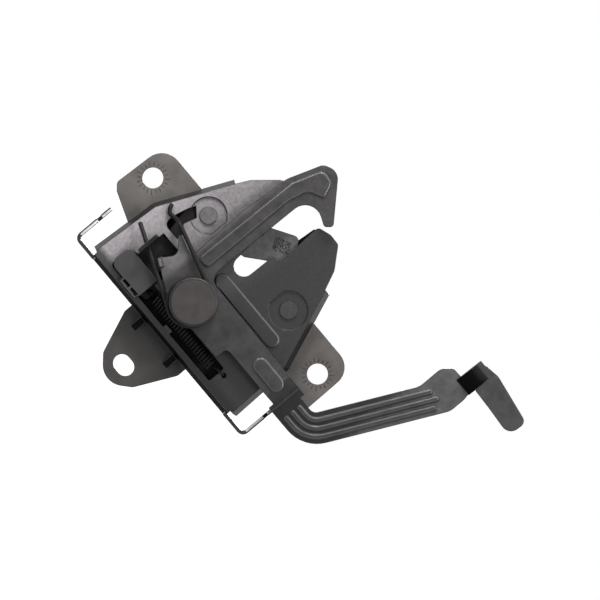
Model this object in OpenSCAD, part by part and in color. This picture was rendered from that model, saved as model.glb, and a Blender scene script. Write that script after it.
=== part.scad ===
// Bonnet latch with claw, pawl and safety lever.
// X runs along the two upper bolt holes, Z is up and the striker comes down from above.
// The ears' mounting face is y = 0 and the front looks towards -Y.
// Outlines are drawn in X and Z, and a third number in a corner is its radius.

/* [Housing] */
// Distance between the two upper bolt holes
ear_span = 110; // [104:1:116]
// Diameter of the upper bolt holes
ear_hole_d = 9; // [6:0.5:10]
// Height of the lower slotted hole below the upper ones
lower_hole_drop = 61.3; // [59:0.1:63]
// Thickness of the housing sheet
sheet_t = 1.6; // [1.2:0.1:1.8]
// Depth of the housing from the mounting face to the front
housing_depth = 12; // [11.5:0.25:13]
// How far the side walls spread from front to back
wall_draft = 2.2; // [1:0.1:3]
// Height of the pressed stiffening bead
bead_h = 0.9; // [0.5:0.1:1.2]
// Diameter of the cable conduit holes
conduit_d = 5; // [4:0.25:5.5]

/* [Striker slot] */
// Width of the striker slot at its bottom
slot_w = 9; // [8:0.5:10]

/* [Claw and pawl] */
// Sideways place of the claw pivot
claw_x = 26; // [25.5:0.25:26.5]
// Sideways place of the pawl pivot
pawl_x = -27; // [-27.5:0.25:-26.5]
// Height of both pivots
pivot_z = 8; // [7.5:0.25:8.5]
// Thickness of the claw and the pawl
claw_t = 4; // [3:0.25:4.25]
// Outer radius of the claw
claw_r = 36.6; // [36:0.1:36.8]
// Diameter of the claw and pawl pivot shoulders
pivot_d = 8; // [6:0.5:9]
// Diameter of the claw and pawl rivet heads
rivet_head_d = 7.6; // [7.2:0.1:9]

/* [Safety lever] */
// Sideways place of the lever pivot
lever_x = -2.5; // [-3:0.25:-2]
// Height of the lever pivot
lever_z = -20.5; // [-21:0.25:-20]
// Thickness of the lever sheet
lever_t = 2.5; // [2:0.1:3]
// Gap between the housing face and the back of the lever
lever_standoff = 3.2; // [2.8:0.1:4]
// How far the handle lies behind the hook
handle_step = 6.5; // [5:0.25:7]
// How far the paddle lies in front of the handle
paddle_step = 11; // [8:0.5:14]
// Diameter of the big rivet head
big_head_d = 21; // [18:0.5:22]
// Thickness of the big rivet head
big_head_t = 2.2; // [1.5:0.1:3]

/* [Springs] */
// Wire of the lever spring
lever_wire_d = 1.9; // [1.4:0.1:2.2]
// Wire of the claw spring
claw_wire_d = 1; // [0.8:0.05:1.1]
// Wire of the pawl spring
pawl_wire_d = 0.9; // [0.6:0.1:1.1]
// Outer diameter of the pawl spring
pawl_coil_d = 5.4; // [4.5:0.1:5.8]

/* [Hidden] */
$fn = 48;

run_gap = 0.05;
fit_gap = 0.02;
side_gap = 0.3;
steel = [0.19, 0.19, 0.2];
worn_steel = [0.36, 0.35, 0.35];
wire_black = [0.1, 0.1, 0.11];

face_y = -housing_depth;
face_back_y = face_y + sheet_t;
back_plate_y = -0.6;
back_plate_front_y = back_plate_y - sheet_t;
seat_depth = 1;
rivet_neck_d = 6;
rivet_head_h = 0.9;
claw_spring_foot = [34.4, 4.1];
seat_back_y = face_back_y + seat_depth;
claw_front_y = seat_back_y + side_gap;
claw_back_y = claw_front_y + claw_t;

lever_pad_h = 1.2;
lever_back_y = face_y - lever_standoff;
lever_front_y = lever_back_y - lever_t;
lever_coil_from = 248;
lever_coil_to = 794.3;
coil_turns = (lever_coil_to - lever_coil_from) / 360;
coil_pitch = lever_wire_d + 0.05;
coil_room = coil_pitch * coil_turns + lever_wire_d + 2 * side_gap;
head_back_y = lever_front_y - coil_room;
head_front_y = head_back_y - big_head_t;
handle_front_y = lever_front_y + handle_step;
handle_back_y = handle_front_y + lever_t;
paddle_back_y = handle_back_y - paddle_step;
lever_shoulder_d = 12;
lever_tail_d = 8;

slot_x = -0.7;
slot_z = 1.2 + slot_w / 2;
lower_hole = [-1.5, -lower_hole_drop];
lower_hole_w = 9.9;
lower_hole_h = 7.7;
conduit_z = -28.5;
conduit_y = -4.2;
spring_z = -32.2;
spring_anchor = [29.6, -31];

// Points of a rounded corner, drawn as an arc between its two sides
function unit(v) = v / norm(v);
function round_corner(a, b, c, r, n) =
    let (u = unit(a - b), v = unit(c - b), half = acos(max(-1, min(1, u * v))) / 2,
         m = b + unit(u + v) * r / sin(half), s = b + u * r / tan(half), e = b + v * r / tan(half),
         a0 = atan2(s.y - m.y, s.x - m.x), a1 = atan2(e.y - m.y, e.x - m.x),
         turn = (a1 - a0 + 540) % 360 - 180)
    [for (i = [0 : n]) m + r * [cos(a0 + turn * i / n), sin(a0 + turn * i / n)]];
function flat2(p) = [p.x, p.y];
function outline(p, n = 5) =
    [for (i = [0 : len(p) - 1])
        let (a = flat2(p[(i + len(p) - 1) % len(p)]), b = flat2(p[i]), c = flat2(p[(i + 1) % len(p)]))
        each (len(p[i]) < 3 ? [b] : round_corner(a, b, c, p[i].z, n))];

// Frames along a wire, carried from ring to ring so that the wire doesn't twist
function tangent(p, i) = unit(p[min(i + 1, len(p) - 1)] - p[max(i - 1, 0)]);
function carried(n, t) = unit(n - (n * t) * t);
function normals(p, n0) =
    [for (i = 0, n = carried(n0, tangent(p, 0)); i < len(p);
          i = i + 1, n = carried(n, tangent(p, min(i, len(p) - 1)))) n];

// Round wire swept along a list of points
module wire(p, d, sides = 8, n0 = [0, 1, 0]) {
    n = normals(p, n0);
    last = len(p) - 1;
    points = [for (i = [0 : last]) let (b = cross(tangent(p, i), n[i])) for (k = [0 : sides - 1])
        p[i] + d / 2 * (cos(360 * k / sides) * n[i] + sin(360 * k / sides) * b)];
    function at(i, k) = i * sides + k % sides;
    skin = [for (i = [0 : last - 1]) for (k = [0 : sides - 1])
        each [[at(i, k), at(i + 1, k), at(i + 1, k + 1)], [at(i, k), at(i + 1, k + 1), at(i, k + 1)]]];
    first_cap = [for (k = [0 : sides - 1]) at(0, k)];
    last_cap = [for (k = [sides - 1 : -1 : 0]) at(last, k)];
    polyhedron(points, concat(skin, [first_cap, last_cap]), convexity = 8);
}

// Sheet of thickness t with its front face at y_front
module sheet(y_front, t) {
    translate([0, y_front + t, 0]) rotate([90, 0, 0]) linear_extrude(t) children();
}

// Round bar along Y from y_front to y_back
module bar(x, z, y_front, y_back, d) {
    translate([x, y_back, z]) rotate([90, 0, 0]) cylinder(h = y_back - y_front, d = d);
}

// Straight slot or bead with round ends, from a to b
module stadium(a, b, w) {
    translate(a) circle(d = w);
    translate(b) circle(d = w);
    translate(a) rotate(atan2(b.y - a.y, b.x - a.x)) translate([0, -w / 2]) square([norm(b - a), w]);
}

// Front edge of the pressed shell: left and right walls from the bottom up, and the bottom wall
shell_left = [[-46.5, -38.5], [-44.5, -7], [-30, 25.5]];
shell_right = [[44.3, -38.5], [43.5, -8.5], [30, 25.5]];
shell_bottom = [[43, -40], [-45.6, -40]];
shell_base_z = shell_bottom[0].y - wall_draft;

// Face with its two horns, before the slot and windows are cut
module face_2d() {
    polygon(outline([[shell_bottom[1].x, shell_bottom[1].y], [shell_bottom[1].x, shell_left[0].y],
                     shell_left[0], shell_left[1], shell_left[2], [-29.6, 26.4], [-27, 31.6, 6],
                     [-18, 42.4, 4], [-8, 42.4, 3], [-8, 18], [8, 18], [7, 40.6, 2], [13, 42.7, 6],
                     [18.2, 42.5, 2], [25.8, 34, 6], [29.4, 26], shell_right[2], shell_right[1], shell_right[0],
                     [shell_bottom[0].x, shell_right[0].y], [shell_bottom[0].x, shell_bottom[0].y]]));
}

// Slanted wall that runs back from the face's edge a to b, spreading to the left of that way
module wall(a, b, lap = 0) {
    rim = 0.3;
    tuck = 0.02;
    translate([a.x, 0, a.y]) rotate([0, -atan2(b.y - a.y, b.x - a.x), 0]) translate([-lap, 0, 0])
        rotate([90, 0, 90]) linear_extrude(norm(b - a) + lap)
            polygon([[face_y + rim, -sheet_t], [face_y + rim, -tuck], [0, wall_draft], [0, wall_draft - sheet_t]]);
}

// Striker slot: round at the bottom and flared upwards
module slot_2d() {
    half = slot_w / 2;
    translate([slot_x, slot_z]) circle(d = slot_w);
    polygon([[slot_x - half, slot_z], [slot_x - half - 1.5, 27], [slot_x - half - 3, 46],
             [slot_x + half + 3.2, 46], [slot_x + half + 1.6, 27], [slot_x + half + 0.2, 15],
             [slot_x + half, slot_z]]);
}

// Dished rivet seat, a disc with one flat side at flat_x
module seat(x, y_front, y_back, r, flat_x) {
    cut = 3 * r;
    difference() {
        bar(x, pivot_z, y_front, y_back, 2 * r);
        translate([flat_x < x ? flat_x - cut : flat_x, y_front - 1, pivot_z - cut / 2])
            cube([cut, y_back - y_front + 2, cut]);
    }
}
module pawl_seat(y_front, y_back, grow = 0) { seat(pawl_x, y_front, y_back, 8 + grow, pawl_x + 7 + grow); }
module claw_seat(y_front, y_back, grow = 0) { seat(claw_x, y_front, y_back, 8.5 + grow, claw_x - 7.5 - grow); }

// Slanted window beside the pawl's rivet, and the long window of the pawl's foot and spring
module windows_2d() {
    polygon(outline([[-33.6, 6.4], [-29.6, 3.4], [-31.2, -2.5], [-28, -6], [-28, -8.7],
                     [-36.4, -8.7, 2.6], [-36.4, -3.5], [-35, 2.5]]));
    difference() {
        polygon(outline([[-33.4, -11.7], [-21.5, -11.7, 1], [-19, -20], [-19, -29], [27.3, -29, 1],
                         [27.3, -37.4, 1], [-37.6, -37.4, 1.5], [-37.6, -27, 1], [-33.4, -25.5]]));
        translate([-3, -38]) square([4, 2.3]);
    }
}

// Tab bent forward at the window, with a slot that guides the spring's lower leg
module spring_guide() {
    guide_x = -33.4 - sheet_t;
    guide_z = [-24.4, -14.2];
    guide_front_y = lever_front_y - lever_wire_d - 3;
    leg_y = lever_front_y - side_gap - lever_wire_d / 2;
    difference() {
        translate([guide_x, guide_front_y, guide_z[0]])
            cube([sheet_t, face_back_y - guide_front_y, guide_z[1] - guide_z[0]]);
        translate([guide_x - 1, leg_y - lever_wire_d / 2 - side_gap, guide_z[0] - 1])
            cube([sheet_t + 2, lever_wire_d + 2 * side_gap, guide_z[1] - guide_z[0] - 2.5]);
    }
}

// Strip of the bottom wall that runs out to one side and turns up to hold a cable conduit
module conduit_tab(inner_x, outer_x) {
    side = sign(outer_x);
    strip_top = shell_base_z + sheet_t;
    upright = outer_x - side * sheet_t;
    strip_front_y = conduit_y - conduit_d / 2 - 1;
    difference() {
        sheet(strip_front_y, -strip_front_y - 0.8)
            polygon(outline([[inner_x, shell_base_z], [inner_x, strip_top], [upright, strip_top, 1.6],
                             [upright, conduit_z + 6.5, 0.6], [outer_x, conduit_z + 6.5, 0.6],
                             [outer_x, shell_base_z, 3.2]]));
        translate([outer_x - side * 5, conduit_y, conduit_z]) rotate([0, side * 90, 0])
            cylinder(h = 10, d = conduit_d);
        translate([outer_x - 5, strip_front_y - 1, conduit_z - 1.1]) cube([10, conduit_y - strip_front_y + 1, 2.2]);
    }
}

module ears() {
    half = ear_span / 2;
    sheet(-sheet_t, sheet_t) {
        polygon(outline([[-36, 13], [-half - 7.4, 13, 9], [-half - 8.6, -13, 2.5],
                         [-half - 5.5, -15.6, 1], [-45, -21.3], [-41, -10]], 8));
        polygon(outline([[36, 12.8], [half + 8.2, 12.8, 8.5], [half + 8.6, -16, 3], [44, -20], [40, -8]], 8));
        polygon(outline([[-19, -39], [-19, -46, 3], [lower_hole.x - 9.9, lower_hole.y - 3.2, 4],
                         [lower_hole.x, lower_hole.y - 12, 9], [lower_hole.x + 9.9, lower_hole.y - 3.2, 4],
                         [17, -46.5, 3], [17, -39]], 8));
    }
}

module ear_holes() {
    for (side = [-1, 1]) bar(side * ear_span / 2, 0, -sheet_t - 1, 1, ear_hole_d);
    reach = (lower_hole_w - lower_hole_h) / 2;
    sheet(-sheet_t - 1, sheet_t + 2)
        stadium(lower_hole - [reach, 0], lower_hole + [reach, 0], lower_hole_h);
}

module housing() color(steel) {
    difference() {
        union() {
            sheet(face_y, sheet_t) face_2d();
            wall(shell_left[0], shell_left[1]);
            wall(shell_left[1], shell_left[2], 0.4);
            wall(shell_right[2], shell_right[1]);
            wall(shell_right[1], shell_right[0], 0.4);
            wall(shell_bottom[0], shell_bottom[1]);
            pawl_seat(face_back_y - 0.2, seat_back_y, 1);
            claw_seat(face_back_y - 0.2, seat_back_y, 1);
            bar(lever_x, lever_z, face_y - lever_pad_h, face_y + 0.2, 24);
            sheet(face_y - bead_h, bead_h + 0.2) stadium([-1.8, -5.5], [31.2, -5.5], 6.4);
            ears();
            conduit_tab(shell_bottom[1].x + 1, -ear_span / 2 - 2);
            conduit_tab(shell_bottom[0].x - 1, ear_span / 2);
            for (x = [-11, 10]) translate([x - 1.6, 0, shell_base_z + 0.2]) rotate([90, 0, 90])
                linear_extrude(3.2) polygon([[-sheet_t + 0.2, 0], [-6.5, 0], [-sheet_t + 0.2, -6.5]]);
        }
        sheet(face_y - 5, housing_depth) slot_2d();
        pawl_seat(face_y - 0.5, face_y + seat_depth);
        claw_seat(face_y - 0.5, face_y + seat_depth);
        sheet(face_y - 5, housing_depth - 3) windows_2d();
        for (x = [pawl_x, claw_x]) bar(x, pivot_z, face_y - 1, seat_back_y + 1, rivet_neck_d + 2 * fit_gap);
        bar(lever_x, lever_z, face_y - 5, face_back_y + 1, lever_tail_d + 2 * fit_gap);
        bar(spring_anchor.x, spring_anchor.y, face_y - 1, face_back_y + 1, pawl_wire_d + 1.2);
        ear_holes();
    }
    spring_guide();
}

// Flat plate behind the claw and pawl
module back_plate() color(steel) {
    difference() {
        sheet(back_plate_front_y, sheet_t)
            polygon(outline([[-29, 25], [-34.5, 12], [-38.5, -10], [-38.5, -38.6, 1], [39, -38.6, 1], [39, -10],
                             [35.2, 12], [29, 25], [18, 39, 5], [-18, 39, 5]]));
        sheet(back_plate_front_y - 1, sheet_t + 2) slot_2d();
        for (x = [pawl_x, claw_x])
            bar(x, pivot_z, back_plate_front_y - 1, back_plate_y + 1, rivet_neck_d + 2 * fit_gap);
        bar(claw_spring_foot.x, claw_spring_foot.y, back_plate_front_y - 1, back_plate_y + 1, claw_wire_d + 1.6);
    }
}

// Shoulder rivet that a claw or pawl turns on, headed in the face's seat and behind the back plate
module pivot_rivet(x) {
    seat_front_y = face_y + seat_depth;
    bar(x, pivot_z, seat_front_y - rivet_head_h, seat_front_y, rivet_head_d);
    bar(x, pivot_z, seat_front_y - 0.1, back_plate_y + 0.1, rivet_neck_d);
    bar(x, pivot_z, seat_back_y, back_plate_front_y, pivot_d);
    bar(x, pivot_z, back_plate_y, -0.05, rivet_neck_d + 4);
}
module claw_rivet() color(steel) pivot_rivet(claw_x);
module pawl_rivet() color(worn_steel) pivot_rivet(pawl_x);

// Claw: lower prong across the slot, throat for the striker and upper finger, drawn open
throat = [11.8, 30.7];
throat_r = 4.6;
throat_in = [0.6, -0.8];
throat_side = [0.8, 0.6];
throat_right = concat(throat + throat_r * (throat_in + throat_side), throat_r - 0.02);
throat_left = concat(throat + throat_r * (throat_in - throat_side), throat_r - 0.02);
module claw() color(worn_steel) {
    difference() {
        sheet(claw_front_y, claw_t) difference() {
            intersection() {
                translate([claw_x, pivot_z]) circle(claw_r, $fn = 96);
                union() {
                    polygon(outline([[-13, 5.4], [-3.6, 8.2, 2], [10, 20, 5], [17.5, 3, 3], [34, 4, 3],
                                     [34.5, 9], [24.5, 27, 8], [17.5, 39.5, 2.5], [11, 39.5, 1.5],
                                     throat_right, throat_left, [5.2, 31.9, 2.6], [-13, 20.6]], 8));
                    translate([claw_x, pivot_z]) circle(8.5);
                }
            }
            translate([claw_x, pivot_z]) rotate(162) translate([claw_r - 2.5, -2]) square([6, 4]);
        }
        bar(claw_x, pivot_z, claw_front_y - 1, claw_back_y + 1, pivot_d + 2 * run_gap);
    }
}

// Torsion spring behind the claw: one leg on the claw, the other in a hole of the back plate
module claw_spring() color(wire_black) {
    mean_r = pivot_d / 2 + claw_wire_d + 0.9;
    y0 = claw_back_y + 0.15 + claw_wire_d / 2;
    y1 = back_plate_front_y - 0.15 - claw_wire_d / 2;
    from = 250;
    turns = 1.1;
    step = 18;
    last = turns * 360 / step;
    coil = [for (i = [0 : last]) [claw_x + mean_r * cos(from + i * step), y0 + (y1 - y0) * i / last,
                                  pivot_z + mean_r * sin(from + i * step)]];
    way = [-sin(from), 0, cos(from)];
    reach = 9;
    tip = coil[0] - reach * way;
    leg = [tip - [0, 3, 0], tip - [0, 0.8, 0], tip + 0.8 * way, coil[0] - way];
    foot = [[claw_spring_foot.x - 1, y1, claw_spring_foot.y + 0.6],
            [claw_spring_foot.x, y1 + 0.7, claw_spring_foot.y],
            [claw_spring_foot.x, back_plate_y - 0.2, claw_spring_foot.y]];
    wire(concat(leg, coil, foot), claw_wire_d, 6, [1, 0, 0]);
}

// Pawl: nose towards the claw, long leg down to the foot that the cable pulls
spring_eye = [-18.3, spring_z];
module pawl() color(steel) {
    difference() {
        sheet(claw_front_y, claw_t)
            polygon(outline([[pawl_x - 8, pivot_z + 8, 7.9], [pawl_x + 8, pivot_z + 8, 7.9], [-15.5, 4, 2],
                             [-9.4, -6.6, 2], [-5, -14, 0.5], [-7.4, -18.4, 1], [-21.8, -11, 4],
                             [-22.2, -25, 2], [-16.5, -27.3, 1.5], [-16.5, -36, 1.5], [-33, -36.2, 3],
                             [-34.5, -27, 3], [-33.2, -8, 6], [pawl_x - 8, 0, 4]]));
        bar(pawl_x, pivot_z, claw_front_y - 1, claw_back_y + 1, pivot_d + 2 * run_gap);
        bar(spring_eye.x, spring_eye.y, claw_front_y - 1, claw_back_y + 1, pawl_wire_d + 1.2);
    }
}

// Moulded block on the pawl's foot that takes the cable's end
module cable_holder() color(wire_black) {
    holder_front_y = lever_back_y + side_gap;
    holder_back_y = face_y - side_gap;
    sheet(holder_front_y, holder_back_y - holder_front_y) difference() {
        union() {
            polygon(outline([[-38.6, -26.3, 3], [-19.6, -26.3, 0.6], [-19.6, -37, 0.6], [-38.6, -37, 3.8]]));
            translate([-30, -39]) square([10, 3]);
        }
        for (x = [-29.2, -24.4]) translate([x, -38.2]) square([3.8, 1.4]);
    }
    sheet(holder_back_y - 0.1, claw_front_y - holder_back_y + 0.1)
        polygon(outline([[-31.5, -28, 1], [-23, -28, 1], [-23, -35.5, 1], [-31.5, -35.5, 1]]));
}

// Extension spring from the pawl's foot to the face
module pawl_spring() color(wire_black) {
    coil_y = face_y + 0.5;
    mean_r = (pawl_coil_d - pawl_wire_d) / 2;
    coil_x = [-14.5, 23];
    pitch = 1.5;
    step = 40;
    last = floor((coil_x[1] - coil_x[0]) / pitch * 360 / step);
    coil = [for (i = [0 : last]) [coil_x[0] + pitch * i * step / 360, coil_y + mean_r * cos(i * step),
                                  spring_z + mean_r * sin(i * step)]];
    hook = [[spring_eye.x, claw_back_y - 1, spring_z], [spring_eye.x, coil_y + 1, spring_z],
            [spring_eye.x + 1, coil_y, spring_z], [coil_x[0] - 1.2, coil_y + 0.8, spring_z]];
    anchor_y = face_y - side_gap - pawl_wire_d / 2;
    anchor = [[coil_x[1] + 2, coil_y - 0.9, spring_z + 0.6], [spring_anchor.x - 1.5, anchor_y, spring_anchor.y],
              [spring_anchor.x - 0.4, anchor_y, spring_anchor.y],
              [spring_anchor.x, anchor_y + 0.8, spring_anchor.y],
              [spring_anchor.x, face_back_y + 0.6, spring_anchor.y]];
    wire(concat(hook, coil, anchor), pawl_wire_d, 6, [0, 0, 1]);
}

// Spacer between the face and the lever
module lever_washer() color(worn_steel) {
    difference() {
        bar(lever_x, lever_z, lever_back_y + 0.1, face_y - lever_pad_h, lever_shoulder_d + 4);
        bar(lever_x, lever_z, lever_back_y - 1, face_y, lever_shoulder_d + 2 * fit_gap);
    }
}

// Raised rib that follows the handle: along, round the bend and up
handle_rise = 64.2;
handle_bend = [65, -8.9];
handle_mid_r = 9.75;
module handle_rib_2d(offset_r, w, run_out, rise) {
    way = [cos(handle_rise), sin(handle_rise)];
    side = [sin(handle_rise), -cos(handle_rise)];
    function band(r) = [for (i = [0 : 6]) let (a = -90 + handle_rise * i / 6)
        handle_bend + r * [cos(a), sin(a)]];
    r = handle_mid_r + offset_r;
    start = handle_bend + [-run_out, -r];
    end = handle_bend + r * side + rise * way;
    outer = concat([start + [0, -w / 2]], band(r + w / 2), [end + side * w / 2]);
    inner = concat([start + [0, w / 2]], band(r - w / 2), [end - side * w / 2]);
    polygon(concat(outer, [for (i = [len(inner) - 1 : -1 : 0]) inner[i]]));
    translate(start) circle(d = w);
    translate(end) circle(d = w);
}

module lever_face_2d() {
    polygon(outline([[-5.6, 62.6, 5.5], [11.2, 45.6, 1.6], [8.6, 42.5, 1.6], [-5.2, 48.4, 7], [-6.1, -9, 5],
                     [47, -9.7], [47, -22.6], [21.7, -22.6, 2], [21.7, -28.6, 1], [-10, -28.6, 4],
                     [-27.3, -20.2, 0.8], [-22.2, -13, 3.5], [-30.8, -5.2, 0.8], [-18.2, -8.9, 1],
                     [-19, 20], [-17.4, 43.5, 12], [-12, 59.4, 4]], 8));
}

module safety_lever() color(steel) {
    difference() {
        union() {
            sheet(lever_front_y, lever_t) lever_face_2d();
            sheet(lever_front_y - bead_h, bead_h + 0.2) {
                polygon(outline([[-15.6, -7, 1.5], [-10, -7, 2], [-9.6, 38], [-7.6, 47, 4], [-0.6, 50.6, 1.5],
                                 [-3.4, 57, 3], [-10, 58, 3], [-14.6, 44, 8]]));
                stadium([36.6, -16.1], [46.8, -16.1], 6.6);
            }
            translate([0, 0, -25.3]) linear_extrude(25.3 - 9.7)
                polygon([[45.5, lever_front_y], [47, lever_front_y], [49, lever_front_y + 0.8],
                         [54.5, handle_front_y], [58, handle_front_y], [58, handle_back_y],
                         [53, handle_back_y], [47.5, lever_back_y + 0.8], [46, lever_back_y], [45.5, lever_back_y]]);
            sheet(handle_front_y, lever_t)
                polygon(outline([[57, -12], [66.6, -12, 3.1], [87, 30.1, 8], [87, 42, 5], [90.5, 46.2, 2],
                                 [102.4, 46.6, 1.5], [103.6, 41, 4], [103.6, 33.4, 8], [75.3, -25.3, 16.5],
                                 [57, -25.3]], 8));
            for (k = [-1, 0, 1])
                sheet(handle_front_y - bead_h, bead_h + 0.2) handle_rib_2d(3.6 * k, 2.2, 4, 50.5 - abs(k) * 2);
            neck_and_paddle();
            sheet(lever_front_y - 3.4, 3.5)
                polygon([[-26.9, -20.4], [-23.2, -22.2], [-22.4, -20.6], [-26.1, -18.8]]);
        }
        bar(lever_x, lever_z, lever_front_y - 5, lever_back_y + 1, lever_shoulder_d + 2 * run_gap);
        translate([40, lever_front_y - 1, -40]) cube([12.5, handle_step + lever_t + 2, 40 - 22.6]);
    }
}

// Neck that comes forward from the handle's pad, and the finger paddle in front
module neck_and_paddle() {
    neck_z = [45, 56];
    neck_x = [95, 103.4];
    translate([neck_x[0], 0, 0]) rotate([90, 0, 90]) linear_extrude(neck_x[1] - neck_x[0])
        polygon([[handle_back_y, neck_z[0] - 1.2], [handle_back_y, neck_z[0] + 1], [paddle_back_y, neck_z[1] + 1],
                 [paddle_back_y - lever_t, neck_z[1] + 1], [paddle_back_y - lever_t, neck_z[1] - 1.6],
                 [handle_front_y, neck_z[0] - 1.2]]);
    sheet(paddle_back_y - lever_t, lever_t)
        polygon(outline([[neck_x[0] + 2, neck_z[1] - 1.4], [neck_x[0] + 3, 57.3, 1.5], [105, 58.4, 6],
                         [127.6, 54.8, 3], [127, 45.6, 4.5], [113, 46.6, 6], [neck_x[1] - 0.4, 47, 1],
                         [neck_x[1] - 0.4, neck_z[1] - 1.4]], 8));
}

// Torsion spring under the big head: the lower leg lifts the lobe, the upper leg holds on the face
module lever_spring() color(wire_black) {
    middle = [lever_x - 0.6, lever_z - 1.4];
    mean_r = big_head_d / 2 - 0.7;
    low = lever_coil_from;
    high = lever_coil_to;
    step = 21;
    last = ceil((high - low) / step);
    y0 = lever_front_y - side_gap - lever_wire_d / 2;
    y1 = y0 - coil_pitch * coil_turns;
    coil = [for (i = [0 : last]) let (a = low + (high - low) * i / last)
        [middle.x + mean_r * cos(a), y0 + (y1 - y0) * i / last, middle.y + mean_r * sin(a)]];
    low_way = [-sin(low), 0, cos(low)];
    high_way = [-sin(high), 0, cos(high)];
    rest_y = face_y - side_gap - lever_wire_d / 2;
    low_leg = [coil[0] - 39.6 * low_way, coil[0] - 1.5 * low_way];
    knee = coil[last] + 32.8 * high_way;
    high_leg = [coil[last] + 1.5 * high_way, [knee.x, y0, knee.z], [knee.x - 2.5, rest_y - 1.3, knee.z + 0.1],
                [-36, rest_y, -3.7], [-38, rest_y, -4.1], [-39.6, rest_y, -3.2], [-40.9, rest_y, -0.6]];
    wire(concat(low_leg, coil, high_leg), lever_wire_d, 8);
}

// Big rivet: flat head, shoulder that the lever turns on, and a headed tail behind the face
module lever_rivet() color(steel) {
    head_r = big_head_d / 2;
    pad_y = face_y - lever_pad_h - head_front_y;
    tail_y = face_back_y - head_front_y;
    tail_h = 0.9;
    translate([lever_x, head_front_y, lever_z]) rotate([-90, 0, 0]) rotate_extrude()
        polygon([[0, 0], [head_r - 0.7, 0], [head_r, 0.5], [head_r, big_head_t],
                 [lever_shoulder_d / 2, big_head_t], [lever_shoulder_d / 2, pad_y], [lever_tail_d / 2, pad_y],
                 [lever_tail_d / 2, tail_y], [6.5, tail_y], [6.5, tail_y + tail_h], [0, tail_y + tail_h]]);
}

housing();
back_plate();
claw_rivet();
claw();
claw_spring();
pawl_rivet();
pawl();
cable_holder();
pawl_spring();
lever_washer();
safety_lever();
lever_spring();
lever_rivet();
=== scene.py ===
import math
import random

import bmesh
import bpy
from mathutils import Matrix, Vector
from mathutils.bvhtree import BVHTree


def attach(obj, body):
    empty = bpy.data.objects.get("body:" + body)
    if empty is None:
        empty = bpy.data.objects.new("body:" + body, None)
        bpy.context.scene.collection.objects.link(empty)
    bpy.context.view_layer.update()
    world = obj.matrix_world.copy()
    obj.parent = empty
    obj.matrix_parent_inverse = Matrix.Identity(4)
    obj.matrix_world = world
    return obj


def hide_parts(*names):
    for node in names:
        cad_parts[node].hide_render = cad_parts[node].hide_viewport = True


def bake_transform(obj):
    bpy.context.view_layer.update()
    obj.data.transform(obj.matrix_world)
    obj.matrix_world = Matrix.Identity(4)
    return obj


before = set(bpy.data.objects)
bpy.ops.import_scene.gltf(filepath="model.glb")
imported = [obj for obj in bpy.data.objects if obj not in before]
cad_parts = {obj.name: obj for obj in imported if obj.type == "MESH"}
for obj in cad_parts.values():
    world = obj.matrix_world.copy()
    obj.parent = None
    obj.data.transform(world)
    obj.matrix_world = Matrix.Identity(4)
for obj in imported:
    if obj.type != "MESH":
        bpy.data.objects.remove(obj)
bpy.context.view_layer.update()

# Studio: a white room with the latch held in the air as it is on its panel, and a pale floor below.
# A near softbox at the upper left gives part of the light fall-off over the face, and the rest is
# painted light in the face's coat.
# The others fill in from the left, above, the handle's side and behind, and the room is white only where
# a ray sees it.
scene = bpy.context.scene
scene.view_settings.view_transform = "Standard"

CAMERA_DISTANCE = 2.0
PICTURE_WIDTH = 0.2579
PICTURE_MIDDLE_X, PICTURE_MIDDLE_Z = 0.0258, 0.0147
picture_right = Vector((0.6429, 0.0, 0.7660))
picture_up = Vector((-0.7660, 0.0, 0.6429))
toward_camera = Vector((0.0, -1.0, 0.0))
camera_data = bpy.data.cameras.new("studio_camera")
camera_data.sensor_width = 36.0
camera_data.lens = camera_data.sensor_width * CAMERA_DISTANCE / PICTURE_WIDTH
camera_data.clip_start = 0.05
camera_data.clip_end = 50.0
camera = bpy.data.objects.new("studio_camera", camera_data)
turned = Matrix((picture_right, picture_up, toward_camera)).transposed().to_4x4()
camera_place = (PICTURE_MIDDLE_X, -CAMERA_DISTANCE, PICTURE_MIDDLE_Z)
camera.matrix_world = Matrix.Translation(camera_place) @ turned
scene.collection.objects.link(camera)
scene.camera = camera


def softbox(name, place, aim, size, power):
    data = bpy.data.lights.new(name, "AREA")
    data.shape = "SQUARE"
    data.size = size
    data.energy = power
    box = bpy.data.objects.new(name, data)
    box.location = place
    box.visible_camera = False
    box.rotation_euler = (Vector(aim) - Vector(place)).to_track_quat("-Z", "Y").to_euler()
    scene.collection.objects.link(box)


softbox("key_softbox", (-0.16, -0.17, 0.21), (-0.01, 0.0, 0.0), 0.08, 1.25)
softbox("strip_softbox", (-0.5, -0.22, 0.14), (0.0, 0.0, 0.0), 0.22, 2.2)
softbox("top_softbox", (0.10, -0.35, 0.9), (0.02, 0.0, 0.0), 0.7, 7.0)
softbox("front_softbox", (0.30, -0.55, 0.24), (0.09, 0.0, 0.02), 0.22, 2.9)
softbox("back_softbox", (0.02, 1.17, 0.25), (0.02, 0.0, 0.0), 0.2, 8.0)


def seen_rays(tree):
    """One for rays that show the background, straight or in gloss or glass, and nought for its light."""
    path = tree.nodes.new("ShaderNodeLightPath")
    shown = path.outputs["Is Camera Ray"]
    for other in ("Is Glossy Ray", "Is Transmission Ray"):
        either = tree.nodes.new("ShaderNodeMath")
        either.operation = "MAXIMUM"
        tree.links.new(shown, either.inputs[0])
        tree.links.new(path.outputs[other], either.inputs[1])
        shown = either.outputs[0]
    return shown


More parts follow.
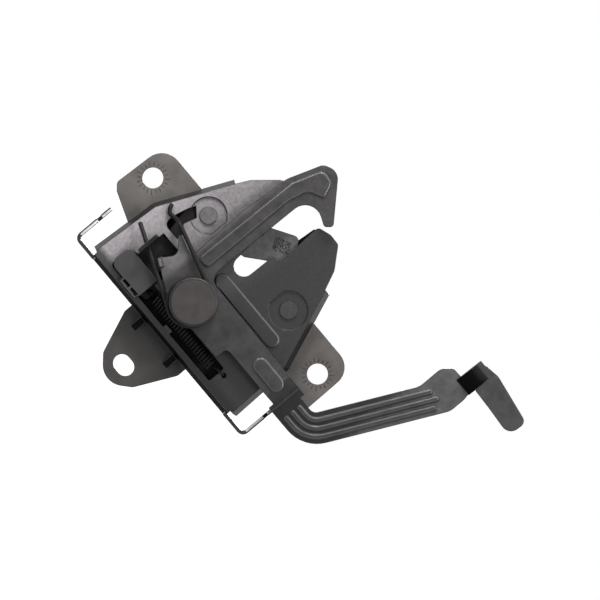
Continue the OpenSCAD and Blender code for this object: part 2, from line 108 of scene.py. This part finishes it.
ROOM_LIGHT, ROOM_WHITE = 0.075, 1.0
world = bpy.data.worlds.new("white_room")
scene.world = world
world.use_nodes = True
room = world.node_tree
room.nodes.clear()
room_strength = room.nodes.new("ShaderNodeMapRange")
room_strength.inputs["To Min"].default_value = ROOM_LIGHT
room_strength.inputs["To Max"].default_value = ROOM_WHITE
room_light = room.nodes.new("ShaderNodeBackground")
room_light.inputs["Color"].default_value = (1.0, 1.0, 1.0, 1.0)
room_out = room.nodes.new("ShaderNodeOutputWorld")
room.links.new(seen_rays(room), room_strength.inputs["Value"])
room.links.new(room_strength.outputs["Result"], room_light.inputs["Strength"])
room.links.new(room_light.outputs["Background"], room_out.inputs["Surface"])

FLOOR_HALF = 12.0
FLOOR_Z = -0.25
floor_corners = [(sx * FLOOR_HALF, sy * FLOOR_HALF, FLOOR_Z)
                 for sx, sy in ((-1, -1), (1, -1), (1, 1), (-1, 1))]
floor_mesh = bpy.data.meshes.new("studio_floor")
floor_mesh.from_pydata(floor_corners, [], [(0, 1, 2, 3)])
floor = bpy.data.objects.new("studio_floor", floor_mesh)
scene.collection.objects.link(floor)
floor_paint = bpy.data.materials.new("floor_paint")
floor_paint.use_nodes = True
floor_shader = floor_paint.node_tree.nodes["Principled BSDF"]
floor_shader.inputs["Base Color"].default_value = (0.30, 0.30, 0.30, 1.0)
floor_shader.inputs["Roughness"].default_value = 0.9
floor_shader.inputs["Emission Color"].default_value = (1.0, 1.0, 1.0, 1.0)
floor_tree = floor_paint.node_tree
floor_tree.links.new(seen_rays(floor_tree), floor_shader.inputs["Emission Strength"])
floor_mesh.materials.append(floor_paint)

# Housing: one stamping of 1.6 mm steel with the face, side walls, three bolt ears and conduit tabs.
# It is blanked, drawn and bent in a progressive die and then dipped in black coat, so every edge is
# a little round and the coat is satin with fine grain. The tabs' front edges are painted pale, a painted
# highlight, with thin painted dark lines at their ends.


def finish(name, deep, worn, rough, patch=140.0, grain=2600.0, grain_depth=0.00002,
           metal=0.0, gleam=0.3):
    """Satin coat on steel: slow colour drift, small worn spots, uneven gloss and a fine grain."""
    material = bpy.data.materials.new(name)
    material.use_nodes = True
    tree = material.node_tree
    shader = tree.nodes["Principled BSDF"]
    shader.inputs["Metallic"].default_value = metal
    shader.inputs["Specular IOR Level"].default_value = gleam
    place = tree.nodes.new("ShaderNodeTexCoord")
    drift = tree.nodes.new("ShaderNodeTexNoise")
    drift.inputs["Scale"].default_value = patch
    drift.inputs["Detail"].default_value = 6.0
    drift.inputs["Roughness"].default_value = 0.62
    tones = tree.nodes.new("ShaderNodeValToRGB")
    tones.color_ramp.elements[0].position = 0.3
    tones.color_ramp.elements[0].color = (*deep, 1.0)
    tones.color_ramp.elements[1].position = 0.78
    tones.color_ramp.elements[1].color = (*worn, 1.0)
    gloss = tree.nodes.new("ShaderNodeTexNoise")
    gloss.inputs["Scale"].default_value = patch * 4.0
    gloss.inputs["Detail"].default_value = 4.0
    gloss_range = tree.nodes.new("ShaderNodeMapRange")
    gloss_range.inputs["To Min"].default_value = rough - 0.07
    gloss_range.inputs["To Max"].default_value = rough + 0.10
    fine = tree.nodes.new("ShaderNodeTexNoise")
    fine.inputs["Scale"].default_value = grain
    fine.inputs["Detail"].default_value = 3.0
    bump = tree.nodes.new("ShaderNodeBump")
    bump.inputs["Strength"].default_value = 0.35
    bump.inputs["Distance"].default_value = grain_depth
    for texture in (drift, gloss, fine):
        tree.links.new(place.outputs["Object"], texture.inputs["Vector"])
    tree.links.new(drift.outputs["Fac"], tones.inputs["Fac"])
    tree.links.new(tones.outputs["Color"], shader.inputs["Base Color"])
    tree.links.new(gloss.outputs["Fac"], gloss_range.inputs["Value"])
    tree.links.new(gloss_range.outputs["Result"], shader.inputs["Roughness"])
    tree.links.new(fine.outputs["Fac"], bump.inputs["Height"])
    tree.links.new(bump.outputs["Normal"], shader.inputs["Normal"])
    return material


PLAIN, EDGE, BEAD = 0, 1, 2
WELD = 0.000002
SAME_HEIGHT = 0.00003
LEVEL_LINE = 0.00001
BEAD_FROM, BEAD_TO = -0.00002, 0.00085
SPIKE_SHARE = 0.7


def pressed(node, body, coat, edge, edge_r=0.00022, sharp=32.0, steps=2, bead_tops=(),
            bead_r=0.0):
    """The CAD piece again with its edges rounded, and the tops of its pressed beads rounder still."""
    work = bmesh.new()
    work.from_mesh(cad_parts[node].data)
    bmesh.ops.remove_doubles(work, verts=work.verts, dist=WELD)
    for face in work.faces:
        face.material_index = PLAIN
        face.smooth = True
    widest = max(edge_r, bead_r)
    weight = work.edges.layers.float.new("bevel_weight_edge")
    for line in work.edges:
        if line.calc_face_angle(0.0) > math.radians(sharp):
            heights = [end.co.y for end in line.verts]
            level = abs(heights[0] - heights[1]) < LEVEL_LINE
            on_bead = level and any(abs(height - top) < SAME_HEIGHT
                                    for top in bead_tops for height in heights)
            line[weight] = (bead_r if on_bead else edge_r) / widest
    mesh = bpy.data.meshes.new(node + "_skin")
    work.to_mesh(mesh)
    surface = BVHTree.FromBMesh(work)
    work.free()
    for kept in ("custom_normal", "sharp_edge", "sharp_face"):
        if kept in mesh.attributes:
            mesh.attributes.remove(mesh.attributes[kept])
    mesh.materials.append(coat)
    mesh.materials.append(edge)
    piece = bpy.data.objects.new(node + "_skin", mesh)
    scene.collection.objects.link(piece)
    rounding = piece.modifiers.new("rounding", "BEVEL")
    rounding.width = widest
    rounding.segments = steps
    rounding.limit_method = "WEIGHT"
    rounding.use_clamp_overlap = False
    rounding.loop_slide = False
    rounding.material = EDGE
    shading = piece.modifiers.new("shading", "WEIGHTED_NORMAL")
    shading.weight = 90
    shaped = piece.evaluated_get(bpy.context.evaluated_depsgraph_get())
    made = bpy.data.meshes.new_from_object(shaped)
    piece.modifiers.clear()
    piece.data = made
    made.name = node + "_skin"
    for corner in made.vertices:
        nearest, _, _, away = surface.find_nearest(corner.co)
        if away > SPIKE_SHARE * widest:
            corner.co = nearest
    # Bead edges take the lighter bead edge coat, a painted highlight.
    if bead_tops:
        made.materials.append(bead_edge)
        for face in made.polygons:
            on_bead = any(BEAD_FROM < face.center.y - top < BEAD_TO for top in bead_tops)
            if face.material_index == EDGE and on_bead:
                face.material_index = BEAD
    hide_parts(node)
    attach(piece, body)
    return piece


black_coat = finish("black_dip_coat", (0.008, 0.008, 0.008), (0.019, 0.018, 0.018), 0.42, gleam=0.07)
worn_edge = finish("worn_coat_edge", (0.004, 0.004, 0.004), (0.022, 0.021, 0.021), 0.28, patch=300.0,
                   gleam=0.3)
# Painted highlight: the rounded edges of the pressed beads take a lighter copy of the edge coat, for
# highlight lines along them.
bead_edge = finish("bead_edge_coat", (0.022, 0.022, 0.022), (0.040, 0.039, 0.038), 0.3,
                   grain_depth=0.000003, gleam=0.5)
FACE_BEAD_Y = -0.0129
housing = pressed("housing", "frame", black_coat, worn_edge, steps=3,
                  bead_tops=(FACE_BEAD_Y,), bead_r=0.0006)


def paint_light_along(material, axis, stops):
    """Multiply the coat's colour along one axis of the part; this paints light and shade into the coat.
    """
    tree = material.node_tree
    shader = tree.nodes["Principled BSDF"]
    coat = shader.inputs["Base Color"].links[0].from_socket
    place = tree.nodes.new("ShaderNodeTexCoord")
    parts = tree.nodes.new("ShaderNodeSeparateXYZ")
    span = tree.nodes.new("ShaderNodeMapRange")
    span.inputs["From Min"].default_value = stops[0][0]
    span.inputs["From Max"].default_value = stops[-1][0]
    ramp = tree.nodes.new("ShaderNodeValToRGB")
    ramp.color_ramp.interpolation = "EASE"
    while len(ramp.color_ramp.elements) < len(stops):
        ramp.color_ramp.elements.new(1.0)
    for step, (at, tone) in zip(ramp.color_ramp.elements, stops):
        step.position = (at - stops[0][0]) / (stops[-1][0] - stops[0][0])
        step.color = (*tone, 1.0)
    both = tree.nodes.new("ShaderNodeMix")
    both.data_type = "RGBA"
    both.blend_type = "MULTIPLY"
    both.inputs["Factor"].default_value = 1.0
    tree.links.new(place.outputs["Object"], parts.inputs["Vector"])
    tree.links.new(parts.outputs[axis], span.inputs["Value"])
    tree.links.new(span.outputs["Result"], ramp.inputs["Fac"])
    tree.links.new(coat, both.inputs[6])
    tree.links.new(ramp.outputs["Color"], both.inputs[7])
    tree.links.new(both.outputs[2], shader.inputs["Base Color"])


# Painted light: the face's coat is painted far lighter towards the left, a painted reflection of the
# near softbox, and darker along the bottom, a painted shade beside the bottom wall.
face_coat_painted_light = finish("face_coat_painted_light", (0.155, 0.145, 0.152), (0.29, 0.272, 0.283), 0.42, patch=800.0)
paint_light_along(face_coat_painted_light, "X", ((-0.046, (1.0, 1.0, 1.0)), (-0.028, (0.62, 0.62, 0.62)),
                       (-0.008, (0.18, 0.18, 0.185)), (0.012, (0.052, 0.052, 0.055))))
paint_light_along(face_coat_painted_light, "Z", ((-0.042, (0.12, 0.12, 0.12)), (-0.038, (0.16, 0.16, 0.16)),
                       (-0.034, (1.0, 1.0, 1.0))))
# Painted shade: the ears' coat is painted much darker just below the bottom wall and darker over the
# lower ear, as the shade under the wall.
ear_coat_painted_shade = finish("ear_coat_painted_shade", (0.046, 0.042, 0.040), (0.095, 0.087, 0.081), 0.5, patch=90.0)
paint_light_along(ear_coat_painted_shade, "Z", ((-0.060, (0.5, 0.51, 0.52)), (-0.042, (0.1, 0.1, 0.1)),
                      (-0.030, (0.8, 0.8, 0.8)), (0.0, (1.0, 1.0, 1.0))))
# Painted highlight: the conduit tabs' front edges are painted pale as if lit, with painted shade as thin
# dark lines at their outer ends and at the foot.
tab_edge_painted_highlight = finish("tab_edge_painted_highlight_coat", (0.30, 0.30, 0.30), (0.62, 0.62, 0.62), 0.4, patch=300.0)
DARK, PALE = (0.03, 0.03, 0.03), (1.0, 1.0, 1.0)
paint_light_along(tab_edge_painted_highlight, "X", ((-0.0570, DARK), (-0.0563, DARK), (-0.0561, PALE), (0.0541, PALE),
                      (0.0543, DARK), (0.0550, DARK)))
paint_light_along(tab_edge_painted_highlight, "Z", ((-0.0400, DARK), (-0.0393, DARK), (-0.0391, PALE), (-0.0200, PALE)))
# Painted shade: the shell's faces that face down are painted nearly black and without gloss, as the
# shade on the walls' undersides.
underside_painted_shade = finish("wall_underside_painted_shade", (0.005, 0.005, 0.005), (0.011, 0.011, 0.011), 0.7, gleam=0.005)
for extra in (face_coat_painted_light, ear_coat_painted_shade, tab_edge_painted_highlight, underside_painted_shade):
    housing.data.materials.append(extra)
FACE, EAR, CUT, WALL = 3, 4, 5, 6
FACE_Y, SEAT_Y, EAR_Y, TAB_Y = -0.012, -0.011, -0.0016, -0.0077
# Front faces at the face, seat and face-bead levels take the face's painted light and shade.
coat_levels = ((FACE, FACE_Y), (FACE, SEAT_Y), (FACE, FACE_BEAD_Y), (EAR, EAR_Y), (CUT, TAB_Y))
FRONT_FACING, UNDER_FACING = -0.9, -0.6
SAME_LEVEL = 0.00005
SHELL_HALF = 0.046
TABS_MIDDLE, TABS_HALF = -0.001, 0.0552
TAB_FOOT_Z = -0.0392
CUT_DEPTH = 0.0003
for face in housing.data.polygons:
    if face.normal.y < FRONT_FACING:
        for coat_number, level in coat_levels:
            if abs(face.center.y - level) < SAME_LEVEL and face.material_index == PLAIN:
                face.material_index = coat_number
    in_shell = abs(face.center.x) < SHELL_HALF
    if face.material_index == PLAIN and face.normal.z < UNDER_FACING and in_shell:
        face.material_index = WALL
    # The tabs' front edges outside the shell take the painted highlight.
    past_shell = abs(face.center.x) > SHELL_HALF
    inside_tab = abs(face.center.x - TABS_MIDDLE) < TABS_HALF and face.center.z > TAB_FOOT_Z
    at_front = face.center.y < TAB_Y + CUT_DEPTH
    if face.material_index == EDGE and inside_tab and past_shell and at_front:
        face.material_index = CUT


def small_teeth(name, teeth, coat, body):
    """Little pressed ridges or grains, each a closed point on a base sunk in the sheet below it."""
    work = bmesh.new()
    for base, tops in teeth:
        low = [work.verts.new(p) for p in base]
        high = [work.verts.new(p) for p in tops]
        work.faces.new(low)
        if len(high) == 1:
            for k in range(len(low)):
                work.faces.new((low[k], low[(k + 1) % len(low)], high[0]))
        else:
            work.faces.new((low[0], low[1], high[1], high[0]))
            work.faces.new((low[2], low[3], high[0], high[1]))
            work.faces.new((low[1], low[2], high[1]))
            work.faces.new((low[3], low[0], high[0]))
    bmesh.ops.recalc_face_normals(work, faces=work.faces)
    mesh = bpy.data.meshes.new(name)
    work.to_mesh(mesh)
    work.free()
    mesh.materials.append(coat)
    piece = bpy.data.objects.new(name, mesh)
    scene.collection.objects.link(piece)
    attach(piece, body)


# Painted shade: the serration ridges are painted near black, for the shade in the pressed grooves round
# the bolt holes.
serration_painted_shade = finish("serration_painted_shade", (0.006, 0.006, 0.006), (0.02, 0.019, 0.018), 0.5)
SERRATIONS = 20
SUNK = 0.00004
SERRATION_FROM, SERRATION_TO, SERRATION_STEP = 0.0051, 0.0066, 0.0004
HALF_WIDTH, CREST_INSET, CREST_HEIGHT = 0.0002, 0.0003, 0.00018
rise = Vector((0.0, -CREST_HEIGHT, 0.0))
serrations = []
for hole_x in (-0.055, 0.055):
    for k in range(SERRATIONS):
        turn = math.tau * (k + 0.5) / SERRATIONS
        out = Vector((math.cos(turn), 0.0, math.sin(turn)))
        aside = Vector((-math.sin(turn), 0.0, math.cos(turn))) * HALF_WIDTH
        middle = Vector((hole_x, EAR_Y + SUNK, 0.0))
        inner = middle + out * SERRATION_FROM
        outer = middle + out * (SERRATION_TO + SERRATION_STEP * (k % 3))
        foot = (inner - aside, outer - aside, outer + aside, inner + aside)
        crest = (inner + out * CREST_INSET + rise, outer - out * CREST_INSET + rise)
        serrations.append((foot, crest))
small_teeth("ear_serrations", serrations, serration_painted_shade, "frame")

# Back plate: flat 1.6 mm blank behind the claw and pawl, with the striker slot cut through it.
# It is held by the two shoulder rivets, which are headed over on its back.
pressed("back_plate", "frame", black_coat, worn_edge)

# Claw: fine-blanked 4 mm plate that closes over the striker, turning on the right rivet.
# Dark phosphate, with the prong's lead-in roughened where the striker first lands on it.
claw_phosphate = finish("claw_phosphate", (0.044, 0.042, 0.042), (0.088, 0.085, 0.084), 0.5,
                        patch=420.0, grain_depth=0.00004)
claw_edge = finish("claw_blanked_edge", (0.02, 0.02, 0.02), (0.05, 0.05, 0.05), 0.4)
pressed("claw", "claw", claw_phosphate, claw_edge, edge_r=0.0003)
CLAW_FRONT_Y = -0.0091
GRAINS = 260
GRAIN_SMALL, GRAIN_LARGE = 0.0002, 0.0005
GRAIN_LOW, GRAIN_HIGH = 0.00012, 0.0003
GRAIN_CORNERS = (0.0, 1.5, 2.9, 4.6)
patch_corner = Vector((-0.0015, 0.0, 0.0244))
patch_long = Vector((0.0062, 0.0, 0.0034))
patch_wide = Vector((0.0030, 0.0, -0.0048))
grains = []
dice = random.Random(7)
for _ in range(GRAINS):
    spot = patch_corner + patch_long * dice.random() + patch_wide * dice.random()
    spot.y = CLAW_FRONT_Y + SUNK
    size = dice.uniform(GRAIN_SMALL, GRAIN_LARGE)
    spin = dice.uniform(0.0, math.tau)
    base = [spot + size * Vector((math.cos(spin + corner), 0.0, math.sin(spin + corner)))
            for corner in GRAIN_CORNERS]
    peak = spot + Vector((0.0, -dice.uniform(GRAIN_LOW, GRAIN_HIGH), 0.0))
    grains.append((base, (peak,)))
grain_coat = finish("claw_grain_coat", (0.003, 0.003, 0.003), (0.06, 0.058, 0.057), 0.5,
                    patch=1500.0)
small_teeth("claw_rough_patch", grains, grain_coat, "claw")

# Shoulder rivets of the claw and pawl: cold-headed steel, headed in the dished seats of the face.
# The heads are plain discs with a soft edge, and the left one is painted lighter, a painted highlight
# from the light on the face's left.
rivet_coat = finish("rivet_coat", (0.016, 0.016, 0.016), (0.034, 0.033, 0.033), 0.42, patch=500.0,
                    gleam=0.24)
rivet_painted_lit = finish("rivet_painted_lit", (0.055, 0.052, 0.053), (0.10, 0.095, 0.096), 0.38, patch=500.0)
pressed("claw_rivet", "frame", rivet_coat, worn_edge)
pressed("pawl_rivet", "frame", rivet_painted_lit, worn_edge)

# Pawl: blanked 4 mm lever on the left rivet, with its foot in the lower window.
# The cable pulls the foot to the left, and the nose then leaves the claw.
pressed("pawl", "pawl", black_coat, worn_edge, edge_r=0.0003)

# Cable holder: dark moulded block snapped on the pawl's foot, which takes the end of the cable.
# Matt plastic with the fine grain of its mould and softly rounded edges.
holder_plastic = finish("holder_plastic", (0.018, 0.018, 0.019), (0.030, 0.030, 0.031), 0.55,
                        grain=1800.0, grain_depth=0.00003)
holder_edge = finish("holder_edge", (0.022, 0.022, 0.023), (0.036, 0.036, 0.037), 0.5)
pressed("cable_holder", "pawl", holder_plastic, holder_edge, edge_r=0.0004, steps=3)

# Lever washer: plain steel spacer between the face and the lever, on the big rivet's shoulder.
# Turned from tube, with small broken edges.
washer_steel = finish("washer_steel", (0.16, 0.16, 0.16), (0.26, 0.26, 0.26), 0.4, metal=1.0)
pressed("lever_washer", "frame", washer_steel, washer_steel, edge_r=0.00015)

# Safety lever: hook, arm, ribbed handle and finger paddle in one stamping of 2.5 mm steel.
# Its ribs are pressed up for stiffness. The coat is painted lighter at the left end, over the lobe and
# the hook's left flank, a painted highlight from the light on the face's left.
# It is painted darker as painted shade on the handle's flat between and beside the ribs and in the bend
# below the paddle, and lighter again at the handle's end pad.
lever_coat = finish("lever_coat", (0.058, 0.057, 0.058), (0.165, 0.158, 0.157), 0.36, gleam=0.22)
# Painted highlight: the lever's coat is painted far lighter over the lobe left of the big rivet.
paint_light_along(lever_coat, "X", ((-0.031, (1.0, 1.0, 1.0)), (-0.0205, (0.8, 0.8, 0.8)),
                        (-0.016, (0.27, 0.265, 0.265)), (0.05, (0.25, 0.25, 0.255))))
# Painted shade: the lever's rounded edges are painted darker than its coat, as dark outlines.
lever_edge = finish("lever_edge", (0.008, 0.008, 0.008), (0.028, 0.027, 0.027), 0.36, patch=200.0,
                    gleam=0.15)
PAD_TOP_Y, RIB_TOP_Y = -0.0186, -0.0121
lever = pressed("safety_lever", "lever", lever_coat, lever_edge, edge_r=0.0003, steps=3,
                bead_tops=(PAD_TOP_Y, RIB_TOP_Y), bead_r=0.0007)
# Painted shade: the neck's down-facing faces are painted near black, fading up to the lever's tone at
# the top of the bend.
neck_painted_shade = finish("neck_painted_shade_coat", (0.030, 0.030, 0.031), (0.050, 0.049, 0.049), 0.6, gleam=0.03)
paint_light_along(neck_painted_shade, "Z", ((0.0430, (0.05, 0.05, 0.05)), (0.0500, (0.08, 0.08, 0.08)),
                       (0.0550, (1.0, 1.0, 1.0))))
lever.data.materials.append(neck_painted_shade)
# Painted shade: the handle's flat faces between and beside the ribs are painted much darker than the
# lever, and painted lighter again at the handle's end pad as painted highlight.
handle_flat_painted_shade = finish("handle_flat_painted_shade_coat", (0.058, 0.057, 0.058), (0.165, 0.158, 0.157), 0.36,
                     gleam=0.22)
paint_light_along(handle_flat_painted_shade, "X", ((0.050, (0.05, 0.05, 0.052)), (0.080, (0.07, 0.07, 0.072)),
                         (0.088, (0.5, 0.5, 0.505))))
lever.data.materials.append(handle_flat_painted_shade)
NECK, GROOVE = 3, 4
NECK_FROM_X, NECK_SLANT = 0.094, -0.4
HANDLE_Y = -0.0112
# The neck's down-facing faces take the painted shade of the bend, and the handle's flat faces take the
# painted shade between the ribs.
for face in lever.data.polygons:
    slanted = face.normal.z < NECK_SLANT and face.normal.y < NECK_SLANT
    on_handle = face.normal.y < FRONT_FACING and abs(face.center.y - HANDLE_Y) < SAME_LEVEL
    if face.center.x > NECK_FROM_X and slanted:
        face.material_index = NECK
    elif face.material_index == PLAIN and on_handle:
        face.material_index = GROOVE

# Big rivet: flat-headed shoulder rivet that the lever swings on, with the spring's coil under it.
# Cold-headed, its face slightly brownish where the coat is thin.
big_rivet_coat = finish("big_rivet_coat", (0.024, 0.022, 0.021), (0.040, 0.036, 0.034), 0.5,
                        patch=260.0, gleam=0.2)
# The rivet's rounded rim takes the dark lever edge coat, a painted shade for the ring of shadow round
# its head.
pressed("lever_rivet", "frame", big_rivet_coat, lever_edge, edge_r=0.0004, steps=3)

# Springs: black spring wire, coiled and with hooked or bent ends, each drawn as a round swept wire.
# The lever spring grips lever and face, the claw spring claw and back plate, and the pawl spring
# pawl and face.


def rounded_route(points, radius):
    """The same points with each corner drawn as a short curve."""
    most, parts = 0.45, 5
    route = [Vector(points[0])]
    for before, corner, after in zip(points, points[1:], points[2:]):
        before, corner, after = Vector(before), Vector(corner), Vector(after)
        reach = min(radius, most * (before - corner).length, most * (after - corner).length)
        start = corner + (before - corner).normalized() * reach
        end = corner + (after - corner).normalized() * reach
        for k in range(parts + 1):
            t = k / parts
            route.append((1 - t) ** 2 * start + 2 * t * (1 - t) * corner + t * t * end)
    return route + [Vector(points[-1])]


def spring_wire(name, route, wire_d, material, sides=14):
    """Round wire along the route, with softly rounded ends."""
    first_way = (route[1] - route[0]).normalized()
    last_way = (route[-1] - route[-2]).normalized()
    tip, end_size = wire_d * 0.18, 0.6
    rings = [(route[0], end_size), (route[0] + first_way * tip, 1.0)]
    rings += [(p, 1.0) for p in route[1:-1]]
    rings += [(route[-1] - last_way * tip, 1.0), (route[-1], end_size)]
    work = bmesh.new()
    across = first_way.orthogonal().normalized()
    loops = []
    for i, (p, size) in enumerate(rings):
        way = (rings[min(i + 1, len(rings) - 1)][0] - rings[max(i - 1, 0)][0]).normalized()
        across = (across - way * across.dot(way)).normalized()
        beside = way.cross(across)
        r = size * wire_d / 2
        loops.append([work.verts.new(p + r * (math.cos(a) * across + math.sin(a) * beside))
                      for a in (math.tau * k / sides for k in range(sides))])
    for one, two in zip(loops, loops[1:]):
        for k in range(sides):
            work.faces.new((one[k], two[k], two[(k + 1) % sides], one[(k + 1) % sides]))
    work.faces.new(loops[0])
    work.faces.new(list(reversed(loops[-1])))
    bmesh.ops.recalc_face_normals(work, faces=work.faces)
    for face in work.faces:
        face.smooth = len(face.verts) == 4
    mesh = bpy.data.meshes.new(name)
    work.to_mesh(mesh)
    work.free()
    mesh.materials.append(material)
    piece = bpy.data.objects.new(name, mesh)
    scene.collection.objects.link(piece)
    return piece


spring_black = finish("spring_black", (0.003, 0.003, 0.003), (0.006, 0.006, 0.006), 0.5, patch=600.0,
                      gleam=0.12)

MM = 0.001
LEVER_WIRE = 1.9 * MM
coil_x, coil_z, coil_r = -3.1 * MM, -21.9 * MM, 9.8 * MM
leg_y, coil_end_y, rest_y = -18.95 * MM, -21.909 * MM, -13.25 * MM
coil_from, coil_to = math.radians(248.0), math.radians(794.3)
COIL_STEPS = 70
lever_coil = []
for k in range(COIL_STEPS + 1):
    turn = coil_from + (coil_to - coil_from) * k / COIL_STEPS
    lever_coil.append(Vector((coil_x + coil_r * math.cos(turn),
                              leg_y + (coil_end_y - leg_y) * k / COIL_STEPS,
                              coil_z + coil_r * math.sin(turn))))
low_way = Vector((-math.sin(coil_from), 0.0, math.cos(coil_from)))
high_way = Vector((-math.sin(coil_to), 0.0, math.cos(coil_to)))
low_leg, high_leg, leg_start, leg_bend = 39.6, 32.8, 1.5, 1.6
knee = lever_coil[-1] + high_way * high_leg * MM
upper_leg = rounded_route(
    [lever_coil[-1] + high_way * leg_start * MM, (knee.x, leg_y, knee.z),
     (knee.x - 2.5 * MM, rest_y - 1.3 * MM, knee.z + 0.1 * MM), (-36.0 * MM, rest_y, -3.7 * MM),
     (-38.0 * MM, rest_y, -4.1 * MM), (-39.6 * MM, rest_y, -3.2 * MM),
     (-40.9 * MM, rest_y, -0.6 * MM)], leg_bend * MM)
lower_leg = [lever_coil[0] - low_way * low_leg * MM, lever_coil[0] - low_way * leg_start * MM]
lever_spring = spring_wire("lever_spring_wire", lower_leg + lever_coil + upper_leg, LEVER_WIRE,
                           spring_black)
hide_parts("lever_spring")
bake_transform(lever_spring)

CLAW_WIRE = 1.0 * MM
claw_x, pivot_z, claw_coil_r = 26.0 * MM, 8.0 * MM, 5.9 * MM
claw_coil_front, claw_coil_back = -4.45 * MM, -2.85 * MM
CLAW_TURNS = 1.1
CLAW_COIL_STEPS = 48
claw_from = math.radians(250.0)
claw_coil = []
for k in range(CLAW_COIL_STEPS + 1):
    turn = claw_from + math.tau * CLAW_TURNS * k / CLAW_COIL_STEPS
    claw_coil.append(Vector((claw_x + claw_coil_r * math.cos(turn),
                             claw_coil_front + (claw_coil_back - claw_coil_front) * k / CLAW_COIL_STEPS,
                             pivot_z + claw_coil_r * math.sin(turn))))
claw_way = Vector((-math.sin(claw_from), 0.0, math.cos(claw_from)))
claw_tip = claw_coil[0] - claw_way * 9.0 * MM
tip_bend, foot_bend = 1.2 * MM, 0.9 * MM
claw_leg = rounded_route(
    [claw_tip - Vector((0.0, 3.0 * MM, 0.0)), claw_tip, claw_coil[0] - claw_way * MM], tip_bend)
foot_x, foot_z = 34.4 * MM, 4.1 * MM
claw_foot = rounded_route(
    [(foot_x - 4.0 * MM, claw_coil_back, foot_z - 1.0 * MM), (foot_x, claw_coil_back, foot_z),
     (foot_x, -0.8 * MM, foot_z)], foot_bend)
claw_spring = spring_wire("claw_spring_wire", claw_leg + claw_coil + claw_foot, CLAW_WIRE,
                          spring_black, sides=10)
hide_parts("claw_spring")
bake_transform(claw_spring)

PAWL_WIRE = 0.9 * MM
pull_y, pull_z, pull_r = -11.5 * MM, -32.2 * MM, 2.25 * MM
pull_left, pull_right, pull_pitch = -14.5 * MM, 23.0 * MM, 1.5 * MM
TURN_STEPS = 20
pull_steps = int((pull_right - pull_left) / pull_pitch * TURN_STEPS)
pull_coil = [Vector((pull_left + pull_pitch * k / TURN_STEPS,
                     pull_y + pull_r * math.cos(math.tau * k / TURN_STEPS),
                     pull_z + pull_r * math.sin(math.tau * k / TURN_STEPS)))
             for k in range(pull_steps + 1)]
eye_x = -18.3 * MM
hook_bend, anchor_bend = 0.9 * MM, 0.7 * MM
pull_hook = rounded_route(
    [(eye_x, -6.1 * MM, pull_z), (eye_x, pull_y, pull_z),
     (pull_left - 1.2 * MM, pull_y + 0.8 * MM, pull_z),
     (pull_left - 0.3 * MM, pull_y + pull_r, pull_z - 0.6 * MM)], hook_bend)
anchor_x, anchor_z, anchor_y = 29.6 * MM, -31.0 * MM, -12.75 * MM
pull_anchor = rounded_route(
    [(25.0 * MM, pull_y - 0.9 * MM, pull_z + 0.6 * MM), (anchor_x - 1.5 * MM, anchor_y, anchor_z),
     (anchor_x, anchor_y, anchor_z), (anchor_x, -9.8 * MM, anchor_z)], anchor_bend)
pawl_spring = spring_wire("pawl_spring_wire", pull_hook + pull_coil + pull_anchor, PAWL_WIRE,
                          spring_black, sides=8)
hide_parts("pawl_spring")
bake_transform(pawl_spring)
